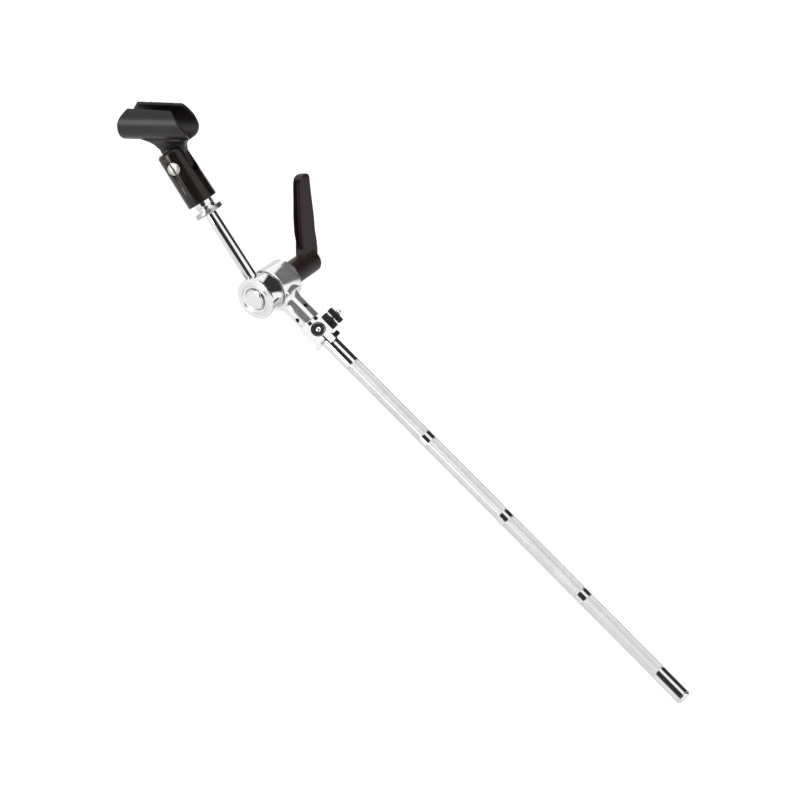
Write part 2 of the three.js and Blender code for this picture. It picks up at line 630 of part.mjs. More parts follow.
// Square-headed screw that closes the lock onto the tube with a drum key.
function lockKeyScrew() {
  const flange = LUG_TOP + GAP;
  const head = flange + KEY_FLANGE;
  return rod(KEY_R, KEY_START, head, 'z').add(rod(KEY_FLANGE_R, flange, head, 'z'))
    .add(block(-KEY_HALF, KEY_HALF, -KEY_HALF, KEY_HALF, head - GAP, head + KEY_HEIGHT - PAST))
    .translate([KEY_X, KEY_Y, 0]);
}

function build() {
  const arm = new THREE.Group();
  piece(arm, 'boom_tube', boomTube(), knurledChrome());
  piece(arm, 'boom_end_plug', endPlug(), chrome());

  const hub = new THREE.Group();
  hub.position.x = HUB;
  arm.add(hub);
  piece(hub, 'receiver_body', receiverBody(), satinChrome());
  SET_SCREWS.forEach(({ name }, index) => piece(hub, name, setScrew(index), blackSteel()));
  piece(hub, 'tilter_body', tilterBody(), chrome());
  piece(hub, 'hub_cap', hubCap(), chrome());
  piece(hub, 'cap_disc', capDisc(), chrome());
  piece(hub, 'friction_disc', sleeve(STUD_R + 1, DISC_R, SEAM - DISC_HALF, SEAM + DISC_HALF), mattePlastic());
  piece(hub, 'tension_stud', tensionStud(), steel());
  piece(hub, 'spring_washer', springWasher(), steel());
  piece(hub, 'thrust_washer', sleeve(STUD_R + 2 * GAP, SPRING_OUTER_R, THRUST_START, THRUST_END), nickel());
  piece(hub, 'lever_insert', leverInsert(), nickel());
  piece(hub, 'lever_screw', leverScrew(), steel());
  piece(hub, 'lever_spring', leverSpring(), steel());
  piece(hub, 'lever_handle', leverHandle(), mattePlastic());

  const upper = new THREE.Group();
  upper.position.y = ROD_Y;
  upper.rotation.y = deg(ROD_TILT);
  hub.add(upper);
  piece(upper, 'upper_rod', upperRod(), chrome());
  piece(upper, 'rod_cross_pin', rod(PIN_R, PIN_FRONT, PIN_BACK).translate([0, 0, PIN_AT]), steel());
  piece(upper, 'thread_adapter', threadAdapter(), chrome());
  piece(upper, 'lock_ring', lockRing(), nickel());

  const clip = new THREE.Group();
  clip.rotation.z = deg(BASE_SPIN);
  upper.add(clip);
  piece(clip, 'clip_base', clipBase(), glossPlastic());
  const threadInsert = sleeve(ADAPTER_R + GAP, INSERT_OUTER_R, BASE_START + GAP, INSERT_END, 'z');
  piece(clip, 'clip_thread_insert', threadInsert, brass());
  piece(clip, 'pivot_screw', pivotScrew(), nickel());
  piece(clip, 'pivot_nut', pivotNut(), nickel());
  const washerAt = TONGUE_HALF + GAP;
  const washer = () => sleeve(WASHER_INNER_R, WASHER_OUTER_R, washerAt, SLOT_HALF - GAP);
  piece(clip, 'clip_washer_back', washer().translate([0, 0, PIVOT_AT]), nickel());
  piece(clip, 'clip_washer_front', washer().mirror([0, 1, 0]).translate([0, 0, PIVOT_AT]), nickel());

  const cradle = new THREE.Group();
  cradle.position.z = PIVOT_AT;
  cradle.rotation.y = deg(CLIP_TILT);
  clip.add(cradle);
  piece(cradle, 'clip_cradle', clipCradle(), mattePlastic());

  const lock = new THREE.Group();
  lock.position.x = HUB + LOCK_AT;
  lock.rotation.x = deg(LOCK_ROLL);
  arm.add(lock);
  piece(lock, 'lock_body', lockBody(), chrome());
  piece(lock, 'lock_grip_screw', lockGripScrew(), chrome());
  piece(lock, 'lock_thumb_stud', lockThumbStud(), chrome());
  piece(lock, 'lock_thumb_nut', lockNut(LOCK_TOP + GAP, THUMB_NUT_END), blackSteel());
  const lockWasher = sleeve(THUMB_R + GAP, LOCK_WASHER_R, THUMB_NUT_END + GAP, LOCK_WASHER_END, 'z');
  piece(lock, 'lock_washer', lockWasher, chrome());
  piece(lock, 'lock_jam_nut', lockNut(LOCK_WASHER_END + GAP, JAM_NUT_END), blackSteel());
  piece(lock, 'lock_key_screw', lockKeyScrew(), blackSteel());
  return arm;
}

export default build();
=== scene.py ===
"""Microphone boom arm: detailed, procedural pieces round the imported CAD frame.

Lengths inside the piece functions are millimetres in a local frame. Each piece is turned into metres and
placed by the frame's own joints: the tilter (hub), the upper rod, the clip, its cradle and the memory lock.
"""
import json
import math

import bmesh
import bpy
from mathutils import Matrix, Vector

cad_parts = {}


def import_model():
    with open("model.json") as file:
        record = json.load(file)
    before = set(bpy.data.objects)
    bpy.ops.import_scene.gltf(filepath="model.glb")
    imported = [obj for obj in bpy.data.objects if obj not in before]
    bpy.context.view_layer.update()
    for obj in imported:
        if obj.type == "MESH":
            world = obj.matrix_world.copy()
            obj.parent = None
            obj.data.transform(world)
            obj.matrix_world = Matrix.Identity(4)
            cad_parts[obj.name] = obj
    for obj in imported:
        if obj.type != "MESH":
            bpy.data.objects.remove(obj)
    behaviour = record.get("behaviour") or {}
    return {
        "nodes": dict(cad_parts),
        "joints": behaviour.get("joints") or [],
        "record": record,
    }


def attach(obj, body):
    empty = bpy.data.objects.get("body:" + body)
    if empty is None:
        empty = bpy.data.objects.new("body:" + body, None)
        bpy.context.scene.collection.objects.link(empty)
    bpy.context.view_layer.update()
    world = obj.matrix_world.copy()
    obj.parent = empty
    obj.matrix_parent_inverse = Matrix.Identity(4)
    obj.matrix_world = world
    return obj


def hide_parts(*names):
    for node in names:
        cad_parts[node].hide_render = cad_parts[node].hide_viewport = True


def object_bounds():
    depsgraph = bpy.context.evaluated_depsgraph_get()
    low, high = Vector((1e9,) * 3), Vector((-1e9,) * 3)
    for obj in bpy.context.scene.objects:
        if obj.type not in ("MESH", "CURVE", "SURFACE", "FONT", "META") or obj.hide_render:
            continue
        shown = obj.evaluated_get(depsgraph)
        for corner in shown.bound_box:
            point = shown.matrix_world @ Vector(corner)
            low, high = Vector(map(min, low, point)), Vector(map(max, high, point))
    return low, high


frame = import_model()
CAD_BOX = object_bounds()

MM = 0.001
JOINTS = {joint["name"]: joint for joint in frame["joints"]}
BODY_OF_NODE = {}
for body_name, nodes in frame["record"]["behaviour"]["bodies"].items():
    for node_name in nodes:
        BODY_OF_NODE[node_name] = body_name
SLOT_OF_NODE = {entry["node"]: entry["material_slot"] for entry in frame["record"]["subparts"]}


# ---------------------------------------------------------------- local frames

def point_of(joint):
    return Vector(JOINTS[joint]["pos_m"])


def axis_of(joint):
    return Vector(JOINTS[joint]["axis"]).normalized()


def frame_at(origin, y_axis, z_axis):
    """A matrix from local millimetres to the part's frame in metres, with that local Y and Z."""
    x_axis = y_axis.cross(z_axis).normalized()
    turn = Matrix((x_axis, y_axis, z_axis)).transposed().to_4x4()
    return Matrix.Translation(origin) @ turn @ Matrix.Scale(MM, 4)


Y_AXIS = Vector((0, 1, 0))
Z_AXIS = Vector((0, 0, 1))
HUB_POINT = point_of("hub_tilt")
ROD_AXIS = axis_of("lock_ring_turn")
RING_AT = 77.5  # from the tilter's axis along the rod
PIVOT_AT = 120.0
CLIP_TILT = math.radians(29.4)

HUB = frame_at(HUB_POINT, Y_AXIS, Z_AXIS)
ROD = frame_at(point_of("lock_ring_turn") - ROD_AXIS * RING_AT * MM, Y_AXIS, ROD_AXIS)
CLIP = frame_at(point_of("clip_pivot"), axis_of("clip_pivot"), ROD_AXIS)
CRADLE = CLIP @ Matrix.Rotation(CLIP_TILT, 4, "Y")
LOCK = frame_at(point_of("lock_grip_turn"), axis_of("lock_grip_turn"), axis_of("lock_thumb_turn"))
TUBE = Matrix.Scale(MM, 4)


# ---------------------------------------------------------------- mesh helpers

ALONG_X = Matrix.Rotation(math.pi / 2, 4, "Y")
ALONG_Y = Matrix.Rotation(-math.pi / 2, 4, "X")
ALONG_Z = Matrix.Identity(4)
SHARP = math.radians(32)


def new_object(name, bm, smooth=True):
    bmesh.ops.remove_doubles(bm, verts=bm.verts, dist=1e-5)
    bmesh.ops.recalc_face_normals(bm, faces=bm.faces)
    mesh = bpy.data.meshes.new(name)
    bm.to_mesh(mesh)
    bm.free()
    obj = bpy.data.objects.new(name, mesh)
    bpy.context.scene.collection.objects.link(obj)
    if smooth:
        mesh.shade_smooth()
        mesh.set_sharp_from_angle(angle=SHARP)
    return obj


def apply_modifiers(obj):
    bpy.context.view_layer.update()
    evaluated = obj.evaluated_get(bpy.context.evaluated_depsgraph_get())
    mesh = bpy.data.meshes.new_from_object(evaluated)
    obj.modifiers.clear()
    old = obj.data
    obj.data = mesh
    bpy.data.meshes.remove(old)
    return obj


def combine(obj, tool, operation="DIFFERENCE"):
    modifier = obj.modifiers.new("combine", "BOOLEAN")
    modifier.operation = operation
    modifier.solver = "EXACT"
    modifier.object = tool
    apply_modifiers(obj)
    bpy.data.objects.remove(tool)
    return obj


def bevelled(obj, width, segments=3, angle=40):
    modifier = obj.modifiers.new("bevel", "BEVEL")
    modifier.width = width
    modifier.segments = segments
    modifier.limit_method = "ANGLE"
    modifier.angle_limit = math.radians(angle)
    modifier.use_clamp_overlap = True
    modifier.harden_normals = False
    apply_modifiers(obj)
    obj.data.shade_smooth()
    obj.data.set_sharp_from_angle(angle=SHARP)
    return obj


def flat_faced(obj):
    """Shades every face as a plane, for a piece with large polished flats."""
    obj.data.shade_flat()
    return obj


def moulded(obj, voxel, passes):
    """Joins and rounds a body as a moulding is: an even mesh with small fillets everywhere."""
    remesh = obj.modifiers.new("remesh", "REMESH")
    remesh.mode = "VOXEL"
    remesh.voxel_size = voxel
    smooth = obj.modifiers.new("smooth", "SMOOTH")
    smooth.factor = 0.5
    smooth.iterations = passes
    apply_modifiers(obj)
    obj.data.shade_smooth()
    return obj


def softened(points, radius, steps=4):
    """The same outline with its inner corners rounded by up to radius."""
    result = [points[0]]
    for before, corner, after in zip(points, points[1:], points[2:]):
        a, b, c = Vector(before), Vector(corner), Vector(after)
        reach = min(radius, (a - b).length * 0.45, (c - b).length * 0.45)
        start = b + (a - b).normalized() * reach
        end = b + (c - b).normalized() * reach
        for i in range(steps + 1):
            t = i / steps
            result.append(tuple(start * (1 - t) ** 2 + b * (2 * t * (1 - t)) + end * t ** 2))
    result.append(points[-1])
    return result


def turned(name, points, along=ALONG_Z, sides=96, soft=0.0):
    """Turns an outline of (radius, place) pairs, as on a lathe. It starts and ends on the axis or closes."""
    outline = softened(points, soft) if soft else points
    bm = bmesh.new()
    rings = []
    for radius, at in outline:
        count = 1 if radius < 1e-6 else sides
        ring = []
        for i in range(count):
            angle = 2 * math.pi * i / sides
            place = along @ Vector((radius * math.cos(angle), radius * math.sin(angle), at))
            ring.append(bm.verts.new(place))
        rings.append(ring)
    for low, high in zip(rings, rings[1:]):
        for i in range(sides):
            j = (i + 1) % sides
            corners = [low[i % len(low)], low[j % len(low)], high[j % len(high)], high[i % len(high)]]
            unique = list(dict.fromkeys(corners))
            if len(unique) > 2:
                bm.faces.new(unique)
    return new_object(name, bm)


def tube_between(name, inner, outer, start, end, along=ALONG_Z, sides=96, soft=0.2):
    middle = (start + end) / 2
    points = [(outer, middle), (outer, end), (inner, end), (inner, start), (outer, start), (outer, middle)]
    return turned(name, points, along, sides, soft)


def peg(name, radius, start, end, along=ALONG_Z, sides=64, soft=0.0):
    return turned(name, [(0, start), (radius, start), (radius, end), (0, end)], along, sides, soft)


def box(name, low, high):
    bm = bmesh.new()
    bmesh.ops.create_cube(bm, size=1)
    low, high = Vector(low), Vector(high)
    for vert in bm.verts:
        vert.co = Vector(((low[k] + high[k]) / 2 + vert.co[k] * (high[k] - low[k]) for k in range(3)))
    return new_object(name, bm)


def prism(name, outline, start, end, along=ALONG_Z):
    """A straight bar with that outline of (x, y) points."""
    bm = bmesh.new()
    low = [bm.verts.new(along @ Vector((x, y, start))) for x, y in outline]
    high = [bm.verts.new(along @ Vector((x, y, end))) for x, y in outline]
    bm.faces.new(low)
    bm.faces.new(high)
    for i in range(len(outline)):
        j = (i + 1) % len(outline)
        bm.faces.new((low[i], low[j], high[j], high[i]))
    return new_object(name, bm)


def moved(obj, x=0.0, y=0.0, z=0.0):
    obj.data.transform(Matrix.Translation((x, y, z)))
    return obj


def hexagon(across_flats):
    corner = across_flats / math.sqrt(3)
    return [(corner * math.cos(i * math.pi / 3), corner * math.sin(i * math.pi / 3)) for i in range(6)]


def edge_ridges(name, radius, inner, depth, start, end, ridges, chamfer):
    """A ring or nut whose round edge has straight V ridges and chamfered ends, along Z."""
    bm = bmesh.new()
    steps = 4 * ridges
    rings = []
    stations = [(start, chamfer, 0), (start + chamfer, 0, 1), (end - chamfer, 0, 1), (end, chamfer, 0)]
    for at, drop, full in stations:
        ring = []
        for i in range(steps):
            angle = 2 * math.pi * i / steps
            groove = (1, 0.35, 0, 0.35)[i % 4] * depth * full
            r = radius - drop - groove
            ring.append(bm.verts.new((r * math.cos(angle), r * math.sin(angle), at)))
        rings.append(ring)
    for at in (end, start):
        ring = []
        for i in range(steps):
            angle = 2 * math.pi * i / steps
            ring.append(bm.verts.new((inner * math.cos(angle), inner * math.sin(angle), at)))
        rings.append(ring)
    rings.append(rings[0])
    for low, high in zip(rings, rings[1:]):
        for i in range(steps):
            j = (i + 1) % steps
            bm.faces.new((low[i], low[j], high[j], high[i]))
    return new_object(name, bm)


def stands_for(obj, place, *nodes):
    """Puts a piece where the frame says and lets it ride, stand and be finished as its CAD node does."""
    obj.data.transform(place)
    if place.determinant() < 0:
        obj.data.flip_normals()
    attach(obj, BODY_OF_NODE[nodes[0]])
    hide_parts(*nodes)
    slot = SLOT_OF_NODE[nodes[0]]
    obj.data.materials.clear()
    obj.data.materials.append(MATERIALS[slot])
    return obj


# ---------------------------------------------------------------- materials

class Nodes:
    """Short way to build a node material: each call adds a node and links its inputs."""

    def __init__(self, name):
        self.material = bpy.data.materials.new(name)
        self.material.use_nodes = True
        self.tree = self.material.node_tree
        self.shader = self.tree.nodes["Principled BSDF"]
        self.place = self.tree.nodes.new("ShaderNodeTexCoord").outputs["Object"]

    def set(self, node, key, value):
        socket = node.inputs[key]
        if isinstance(value, bpy.types.NodeSocket):
            self.tree.links.new(value, socket)
        else:
            socket.default_value = value

    def add(self, kind, output=0, settings=(), **inputs):
        node = self.tree.nodes.new(kind)
        for key, value in dict(settings).items():
            setattr(node, key, value)
        for key, value in inputs.items():
            self.set(node, key.replace("_", " "), value)
        return node.outputs[output]

    def noise(self, scale, detail=4.0, roughness=0.6, stretch=None):
        place = self.place
        if stretch:
            place = self.add("ShaderNodeMapping", Vector=self.place, Scale=stretch)
        return self.add("ShaderNodeTexNoise", Vector=place, Scale=scale, Detail=detail, Roughness=roughness)

    def spread(self, value, low, high, start=0.3, end=0.7):
        node = self.tree.nodes.new("ShaderNodeMapRange")
        for index, number in enumerate((value, start, end, low, high)):
            self.set(node, index, number)
        return node.outputs[0]

    def blend(self, amount, first, second):
        node = self.tree.nodes.new("ShaderNodeMix")
        node.data_type = "RGBA"
        self.set(node, 0, amount)
        self.set(node, 6, (*first, 1) if isinstance(first, tuple) else first)
        self.set(node, 7, (*second, 1) if isinstance(second, tuple) else second)
        return node.outputs[2]

    def bump(self, height, distance, strength=1.0, below=None):
        inputs = {"Height": height, "Distance": distance, "Strength": strength}
        if below:
            inputs["Normal"] = below
        return self.add("ShaderNodeBump", **inputs)

    def finish(self, **inputs):
        for key, value in inputs.items():
            self.set(self.shader, key.replace("_", " "), (*value, 1) if isinstance(value, tuple) else value)
        return self.material


def polished_chrome():
    m = Nodes("polished_chrome")
    haze = m.noise(90, detail=6)
    hairlines = m.noise(900, detail=3, stretch=(0.08, 1, 1))
    tint = m.blend(m.spread(haze, 0, 1), (0.62, 0.625, 0.63), (0.58, 0.585, 0.595))
    roughness = m.spread(haze, 0.035, 0.075)
    wear = m.bump(hairlines, 0.00002, 0.12)
    wave = m.bump(m.noise(35, detail=1), 0.0004, 0.05, wear)
    return m.finish(Base_Color=tint, Metallic=1.0, Roughness=roughness, Normal=wave)


def satin_chrome():
    """Plated casting with a faint haze over its reflections, so that even the dark ones look grey."""
    m = Nodes("satin_chrome")
    grain = m.noise(1300, detail=6)
    cloud = m.noise(140, detail=4)
    tone = m.blend(m.spread(cloud, 0, 1), (0.64, 0.645, 0.65), (0.58, 0.585, 0.595))
    fine = m.bump(grain, 0.00003, 0.25)
    wave = m.bump(cloud, 0.0002, 0.08, fine)
    return m.finish(Base_Color=tone, Metallic=m.spread(cloud, 0.80, 0.86),
                    Roughness=m.spread(grain, 0.08, 0.13), Normal=wave)


def knurled_chrome():
    m = Nodes("knurled_chrome")
    grain = m.noise(1400, detail=5)
    tone = m.blend(m.spread(m.noise(60), 0, 1), (0.58, 0.583, 0.585), (0.53, 0.533, 0.54))
    roughness = m.spread(grain, 0.05, 0.11)
    return m.finish(Base_Color=tone, Metallic=1.0, Roughness=roughness, Normal=m.bump(grain, 0.00003, 0.15))


def satin_nickel():
    m = Nodes("satin_nickel")
    grain = m.noise(1100, detail=6)
    stain = m.noise(120, detail=4)
    tone = m.blend(m.spread(stain, 0, 1), (0.40, 0.385, 0.36), (0.33, 0.315, 0.29))
    roughness = m.spread(grain, 0.24, 0.4)
    return m.finish(Base_Color=tone, Metallic=1.0, Roughness=roughness, Normal=m.bump(grain, 0.00005, 0.3))


def plain_steel():
    m = Nodes("plain_steel")
    grain = m.noise(1500, detail=5, stretch=(1, 0.15, 1))
    tone = m.blend(m.spread(m.noise(200), 0, 1), (0.42, 0.42, 0.43), (0.32, 0.32, 0.33))
    roughness = m.spread(grain, 0.22, 0.38)
    return m.finish(Base_Color=tone, Metallic=1.0, Roughness=roughness, Normal=m.bump(grain, 0.00004, 0.3))


def black_oxide():
    m = Nodes("black_oxide")
    grain = m.noise(900, detail=6)
    rub = m.spread(m.noise(260, detail=5), 0, 1, 0.58, 0.72)
    tone = m.blend(rub, (0.010, 0.009, 0.008), (0.05, 0.045, 0.04))
    roughness = m.spread(grain, 0.26, 0.42)
    return m.finish(Base_Color=tone, Metallic=0.75, Roughness=roughness, Normal=m.bump(grain, 0.00004, 0.25))


def turned_brass():
    m = Nodes("turned_brass")
    grain = m.noise(1200, detail=4)
    tone = m.blend(m.spread(m.noise(150), 0, 1), (0.55, 0.40, 0.19), (0.44, 0.31, 0.14))
    return m.finish(Base_Color=tone, Metallic=1.0, Roughness=m.spread(grain, 0.25, 0.4))


def pressed_fibre():
    m = Nodes("pressed_fibre")
    fibres = m.noise(2200, detail=8, roughness=0.75)
    tone = m.blend(m.spread(fibres, 0, 1), (0.16, 0.11, 0.075), (0.07, 0.05, 0.035))
    return m.finish(Base_Color=tone, Roughness=0.85, Normal=m.bump(fibres, 0.0001, 0.6))


def black_moulding(name, dark, light, rough_low, rough_high, grain_scale, grain_depth):
    """Black plastic: a fine grain from the mould, faint flow marks, rubbed patches and some dust."""
    m = Nodes(name)
    grain = m.noise(grain_scale, detail=6, roughness=0.7)
    flow = m.noise(55, detail=3, stretch=(1, 0.5, 0.6))
    dust = m.spread(m.noise(5200, detail=2), 0, 1, 0.72, 0.80)
    tone = m.blend(m.spread(flow, 0, 1), dark, light)
    amount = m.add("ShaderNodeMath", settings={"operation": "MULTIPLY"})
    m.set(amount.node, 0, dust)
    m.set(amount.node, 1, 0.35)
    dusty = m.blend(amount, tone, (0.09, 0.085, 0.08))
    roughness = m.spread(flow, rough_low, rough_high)
    body = m.bump(flow, 0.0006, 0.12, m.bump(grain, grain_depth, 0.35))
    return m.finish(Base_Color=dusty, Roughness=roughness, Normal=body, Specular_IOR_Level=0.26)


MATERIALS = {
    "chrome": polished_chrome(),
    "satin_chrome": satin_chrome(),
    "knurled_chrome": knurled_chrome(),
    "nickel": satin_nickel(),
    "steel": plain_steel(),
    "black_steel": black_oxide(),
    "brass": turned_brass(),
    "fibre": pressed_fibre(),
    "lever_plastic": black_moulding(
        "lever_plastic", (0.0095, 0.0045, 0.0042), (0.0135, 0.0070, 0.0062), 0.36, 0.46, 1900, 0.00006),
    "gloss_plastic": black_moulding(
        "gloss_plastic", (0.0055, 0.0035, 0.0028), (0.0085, 0.0055, 0.0045), 0.17, 0.24, 2400, 0.00002),
    "matte_plastic": black_moulding(
        "matte_plastic", (0.0075, 0.0058, 0.0055), (0.011, 0.0088, 0.0082), 0.32, 0.4, 2000, 0.00005),
}
for node_name, node in frame["nodes"].items():
    node.data.materials.clear()
    node.data.materials.append(MATERIALS[SLOT_OF_NODE[node_name]])


# ---------------------------------------------------------------- boom tube

TUBE_R = 6.35
TUBE_BORE_R = 5.15
TUBE_START = -449.5
HUB_X = HUB_POINT.x / MM
KNURL_FROM = HUB_X + 88
KNURL_LENGTH = 79.8
BAND_LENGTH = 7.4
KNURL_ZONES = 4
KNURL_PEAK = 6.16
KNURL_VALLEY = 5.84
KNURL_COUNT = 30  # diamonds round the tube
TUBE_END = -2.7


def tube_stations():
    """(place, radius, first offset) along the tube; the offset is None on smooth rings."""
    sides = 2 * KNURL_COUNT
    pitch = 2 * math.pi * KNURL_PEAK / sides
    stations = [(TUBE_START, TUBE_R - 0.4, None), (TUBE_START + 0.4, TUBE_R, None)]
    rings = round((KNURL_LENGTH - 1.2) / pitch)
    for zone in range(KNURL_ZONES):
        start = KNURL_FROM + zone * (KNURL_LENGTH + BAND_LENGTH)
        end = start + KNURL_LENGTH
        stations += [(start - 0.15, TUBE_R, None), (start, TUBE_R - 0.12, None)]
        stations.append((start + 0.3, KNURL_VALLEY, None))
        for i in range(rings + 1):
            stations.append((start + 0.6 + i * (KNURL_LENGTH - 1.2) / rings, None, i % 2))
        stations += [(end - 0.3, KNURL_VALLEY, None), (end, TUBE_R - 0.12, None), (end + 0.15, TUBE_R, None)]
    stations += [(TUBE_END - 0.3, TUBE_R, None), (TUBE_END, TUBE_R - 0.3, None)]
    stations.append((TUBE_END, TUBE_BORE_R, None))
    stations += [(TUBE_START, TUBE_BORE_R, None), stations[0]]
    return stations


def boom_tube():
    sides = 2 * KNURL_COUNT
    bm = bmesh.new()
    rings = []
    stations = tube_stations()
    for at, radius, offset in stations[:-1]:
        ring = []
        for i in range(sides):
            angle = 2 * math.pi * i / sides
            r = radius if radius else (KNURL_VALLEY, KNURL_PEAK)[(i + offset) % 2]
            ring.append(bm.verts.new((at, r * math.cos(angle), r * math.sin(angle))))
        rings.append(ring)
    rings.append(rings[0])
    for k in range(len(stations) - 1):
        first, second = stations[k][2], stations[k + 1][2]
        for i in range(sides):
            j = (i + 1) % sides
            corners = (rings[k][i], rings[k][j], rings[k + 1][j], rings[k + 1][i])
            if first is None or second is None:
                bm.faces.new(corners).smooth = True
                continue
            a, b, c, d = corners
            valley_first = (i + first) % 2 == 0
            pairs = ((a, b, c), (a, c, d)) if valley_first else ((a, b, d), (b, c, d))
            for triangle in pairs:
                bm.faces.new(triangle).smooth = False
    tube = new_object("tube", bm, smooth=False)
    tube.data.set_sharp_from_angle(angle=SHARP)
    stands_for(tube, TUBE, "boom_tube")


def end_plug():
    nose = 2.4
    arc = [(TUBE_R - nose + nose * math.cos(t), -nose + nose * math.sin(t))
           for t in (math.pi / 2 * i / 10 for i in range(11))]
    skirt = TUBE_BORE_R - 0.3
    outline = [(0, -14), (skirt - 0.4, -14), (skirt, -13.4), (skirt, -nose), *arc, (0, 0)]
    plug = turned("end_plug", outline, ALONG_X)
    stands_for(plug, TUBE, "boom_end_plug")


# ---------------------------------------------------------------- tilter

CAP_FRONT = -26.5
CAP_BACK = -23.5
SEAM = -9.5
FRONT_R = 16.1
REAR_R = 17.3
REAR_END = 13.5
CAP_R = 17.1
RECEIVER_R = 9.25
RECEIVER_END = 41.0
ROD_Y = -16.5
SCREW_TOP_X = 29.5
SCREW_FRONT_X = 33.5
STUD_HOLE_R = 3.3
DISC_SEAT_R = 12.3  # of the friction disc, sunk into both halves
DISC_SEAT_DEPTH = 1.2
PIN_HOLE_R = 1.5
PIN_AT = 12.5  # of the cross pin, along the upper rod


def receiver():
    """Rear half of the tilter with the receiver that holds the tube."""
    drum = turned("receiver", softened([
        (0, SEAM + 0.3), (REAR_R, SEAM + 0.3), (REAR_R, REAR_END - 1.4),
        (REAR_R - 1.4, REAR_END), (REAR_R - 2.4, REAR_END), (REAR_R - 2.9, REAR_END - 1.2),
        (8.6, REAR_END - 1.2), (8.6, 9), (0, 9)], 0.6), ALONG_Y, 160)
    flare = 4.2
    neck = []
    for i in range(9):
        t = i / 8 * math.pi / 2
        neck.append((RECEIVER_R + flare * (1 - math.sin(t)), REAR_R - 2.5 + flare * 1.6 * (1 - math.cos(t))))
    sleeve = turned("sleeve", [
        (0, 3), (RECEIVER_R + flare, 3), *neck, (RECEIVER_R, RECEIVER_END - 0.8),
        (RECEIVER_R - 0.25, RECEIVER_END - 0.2), (RECEIVER_R - 0.8, RECEIVER_END), (0, RECEIVER_END)],
        ALONG_X, 128)
    half_height = 20
    limits = box("limits", (0, SEAM + 0.3, -half_height), (RECEIVER_END + 1, REAR_END, half_height))
    combine(sleeve, limits, "INTERSECT")
    combine(drum, sleeve, "UNION")
    combine(drum, peg("bore", TUBE_R + 0.15, 8, RECEIVER_END + 1, ALONG_X, 96))
    combine(drum, peg("stud_bore", STUD_HOLE_R, SEAM - 1, REAR_END, ALONG_Y))
    combine(drum, peg("disc_seat", DISC_SEAT_R, SEAM - 1, SEAM + DISC_SEAT_DEPTH, ALONG_Y))
    top = moved(peg("top_hole", 1.9, TUBE_R, RECEIVER_R + 1, ALONG_Z, 32), x=SCREW_TOP_X)
    combine(drum, top)
    front = moved(peg("front_hole", 1.9, -RECEIVER_R - 1, -TUBE_R, ALONG_Y, 32), x=SCREW_FRONT_X)
    combine(drum, front)
    stands_for(bevelled(drum, 0.22, 2), HUB, "receiver_body")


def set_screws():
    for node, x, along, sign in (("receiver_screw_top", SCREW_TOP_X, ALONG_Z, 1),
                                 ("receiver_screw_front", SCREW_FRONT_X, ALONG_Y, -1)):
        low, high = TUBE_R + 0.3, RECEIVER_R - 0.9
        screw = peg(node + "_body", 1.62, *sorted((sign * low, sign * high)), along, 32)
        socket = prism("socket", hexagon(1.7), *sorted((sign * (high - 1), sign * (high + 1))), along)
        combine(screw, socket)
        stands_for(moved(screw, x=x), HUB, node)


def tilter_front():
    """Front half of the tilter: a turned drum with a socket for the upper rod."""
    drum = turned("tilter_front", softened([
        (0, CAP_BACK + 0.3), (FRONT_R, CAP_BACK + 0.3), (FRONT_R, SEAM - 0.3), (0, SEAM - 0.3)], 0.55),
        ALONG_Y, 160)
    tilt = ROD.to_3x3().normalized().to_4x4()
    socket = peg("socket", 5.2, 8.2, 26, ALONG_Z, 96)
    socket.data.transform(Matrix.Translation((0, ROD_Y, 0)) @ tilt)
    combine(drum, socket)
    combine(drum, peg("stud_hole", STUD_HOLE_R, CAP_BACK - 1, SEAM + 1, ALONG_Y))
    combine(drum, peg("head_seat", 7, CAP_BACK - 1, -19.5, ALONG_Y))
    combine(drum, peg("disc_seat", DISC_SEAT_R, SEAM - DISC_SEAT_DEPTH, SEAM + 1, ALONG_Y))
    pin = peg("pin_hole", PIN_HOLE_R, CAP_BACK, SEAM - 1.5, ALONG_Y, 32)
    pin.data.transform(tilt @ Matrix.Translation((0, 0, PIN_AT)))
    combine(drum, pin)
    stands_for(bevelled(drum, 0.18, 2), HUB, "tilter_body")


def cap():
    """Turned cap: a rim and a raised ring with a step on each side, round the middle disc's seat."""
    front = CAP_FRONT
    outline = [
        (6, CAP_BACK), (6, front + 1.4), (8.9, front + 1.4), (9.4, front + 0.5), (11.6, front + 0.35),
        (12.0, front - 0.55), (13.5, front - 0.55), (13.95, front + 0.35), (15.9, front + 0.25),
        (CAP_R, front + 0.7), (CAP_R, CAP_BACK), (11, CAP_BACK), (6, CAP_BACK)]
    stands_for(turned("cap", softened(outline, 0.5, 5), ALONG_Y, 160), HUB, "hub_cap")


def cap_middle():
    front = CAP_FRONT - 1.55
    outline = [(0, front - 0.05), (5, front), (7.5, front + 0.15), (8.2, front + 0.9),
               (8.2, CAP_FRONT + 1.15), (5.7, CAP_FRONT + 1.15), (5.7, CAP_BACK), (0, CAP_BACK)]
    stands_for(turned("cap_middle", softened(outline, 0.6, 5), ALONG_Y, 128), HUB, "cap_disc")


# ---------------------------------------------------------------- lever

